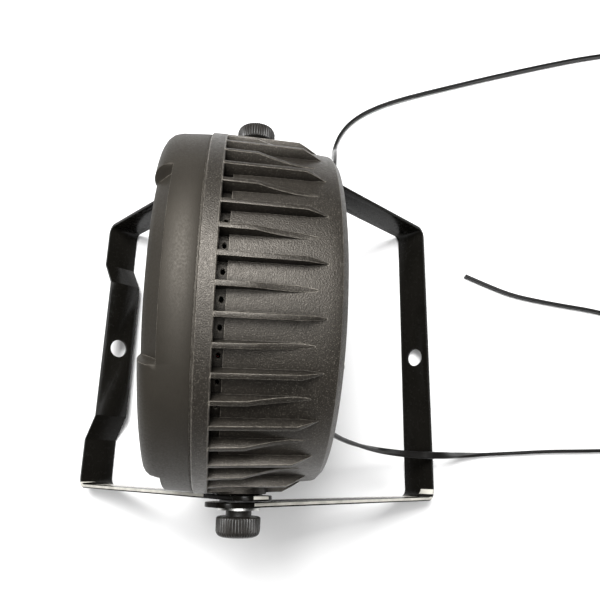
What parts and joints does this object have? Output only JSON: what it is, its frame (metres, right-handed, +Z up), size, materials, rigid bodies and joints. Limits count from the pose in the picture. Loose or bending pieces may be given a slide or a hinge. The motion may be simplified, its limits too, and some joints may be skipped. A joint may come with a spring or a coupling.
{
  "type": "par can light",
  "caption": "Slim round stage wash light with finned drum, two clamped U brackets as stand or hanger, captive power and link leads.",
  "frame": {"origin": "floor point under the middle of the object, brackets spread as a stand", "axes": "+X along the pivot axis, -Y the side the light shines to, +Z up"},
  "size_m": [0.4438, 0.5461, 0.2477],
  "materials": {
    "housing_plastic": "fine-grained moulded black",
    "bezel_plastic": "satin moulded black",
    "panel_plastic": "smooth black",
    "bracket_steel": "black powder coat",
    "knob_plastic": "moulded black, knurled",
    "clear_acrylic": "clear moulded acrylic",
    "led_package": "phosphor dome on white package",
    "circuit_board": "white solder mask",
    "bare_aluminium": "extruded",
    "zinc_steel": "zinc plated",
    "brass_metal": "turned",
    "nylon": "nylon",
    "button_rubber": "soft matt",
    "component_black": "moulded",
    "capacitor_can": "sleeved can",
    "wire_insulation": "silicone",
    "lead_pvc": "glossy flexible cord jacket",
    "plug_pvc": "satin moulded flexible jacket"
  },
  "bodies": {
    "lamp": {"back_cover": "housing_plastic", "back_cover_screws": "zinc_steel", "bezel_screws": "zinc_steel", "button_switches": "component_black", "chassis_standoffs": "zinc_steel", "control_board": "circuit_board", "control_panel": "panel_plastic", "control_panel_screws": "zinc_steel", "data_in_socket": "component_black", "data_out_socket": "component_black", "display_module": "component_black", "display_window": "clear_acrylic", "driver_board": "circuit_board", "driver_capacitors": "capacitor_can", "driver_fuse": "component_black", "driver_standoffs": "zinc_steel", "driver_transformer": "component_black", "friction_washers": "nylon", "front_bezel": "bezel_plastic", "heat_sink": "bare_aluminium", "led_board": "circuit_board", "led_emitters": "led_package", "led_lenses": "clear_acrylic", "led_wires": "wire_insulation", "left_pivot_stud": "zinc_steel", "lens_plate": "clear_acrylic", "lens_plate_spacers": "nylon", "link_lead": "lead_pvc", "link_lead_relief": "plug_pvc", "plug_blades": "brass_metal", "power_lead": "lead_pvc", "power_lead_coil": "lead_pvc", "power_lead_relief": "plug_pvc", "power_lead_tail": "lead_pvc", "power_lead_tie": "nylon", "power_plug": "plug_pvc", "rear_housing": "housing_plastic", "right_pivot_stud": "zinc_steel", "safety_loop": "zinc_steel", "socket_screws": "zinc_steel"},
    "front_bracket": {"front_bracket": "bracket_steel"},
    "back_bracket": {"back_bracket": "bracket_steel"},
    "left_washer": {"left_clamp_washer": "zinc_steel"},
    "left_knob": {"left_knob": "knob_plastic", "left_knob_insert": "brass_metal"},
    "right_washer": {"right_clamp_washer": "zinc_steel"},
    "right_knob": {"right_knob": "knob_plastic", "right_knob_insert": "brass_metal"},
    "menu_button": {"menu_button": "button_rubber"},
    "down_button": {"down_button": "button_rubber"},
    "up_button": {"up_button": "button_rubber"},
    "enter_button": {"enter_button": "button_rubber"}
  },
  "joints": [
    {"name": "front_bracket_swing", "type": "hinge", "parent": "lamp", "child": "front_bracket", "pos_m": [0, -0.00224, 0.1405], "axis": [1, 0, 0], "range_deg": [-135, 42]},
    {"name": "back_bracket_swing", "type": "hinge", "parent": "lamp", "child": "back_bracket", "pos_m": [0, -0.00224, 0.1405], "axis": [1, 0, 0], "range_deg": [-43, 0]},
    {"name": "left_washer_slide", "type": "slide", "parent": "lamp", "child": "left_washer", "axis": [-1, 0, 0], "range_m": [0, 0.00187]},
    {"name": "left_knob_turn", "type": "hinge", "parent": "left_washer", "child": "left_knob", "pos_m": [0, -0.00224, 0.1405], "axis": [-1, 0, 0], "range_deg": [0, 540]},
    {"name": "right_washer_slide", "type": "slide", "parent": "lamp", "child": "right_washer", "axis": [1, 0, 0], "range_m": [0, 0.00187]},
    {"name": "right_knob_turn", "type": "hinge", "parent": "right_washer", "child": "right_knob", "pos_m": [0, -0.00224, 0.1405], "axis": [1, 0, 0], "range_deg": [0, 540]},
    {"name": "menu_button_press", "type": "slide", "parent": "lamp", "child": "menu_button", "axis": [0, -0.994, 0.1097], "range_m": [0, 0.0008], "stiffness_N_per_m": 300},
    {"name": "down_button_press", "type": "slide", "parent": "lamp", "child": "down_button", "axis": [0, -0.994, 0.1097], "range_m": [0, 0.0008], "stiffness_N_per_m": 300},
    {"name": "up_button_press", "type": "slide", "parent": "lamp", "child": "up_button", "axis": [0, -0.994, 0.1097], "range_m": [0, 0.0008], "stiffness_N_per_m": 300},
    {"name": "enter_button_press", "type": "slide", "parent": "lamp", "child": "enter_button", "axis": [0, -0.994, 0.1097], "range_m": [0, 0.0008], "stiffness_N_per_m": 300}
  ],
  "couplings": [
    {"joint": "left_knob_turn", "follows": "left_washer_slide", "rad_per_m": 5026.5},
    {"joint": "right_knob_turn", "follows": "right_washer_slide", "rad_per_m": 5026.5}
  ]
}
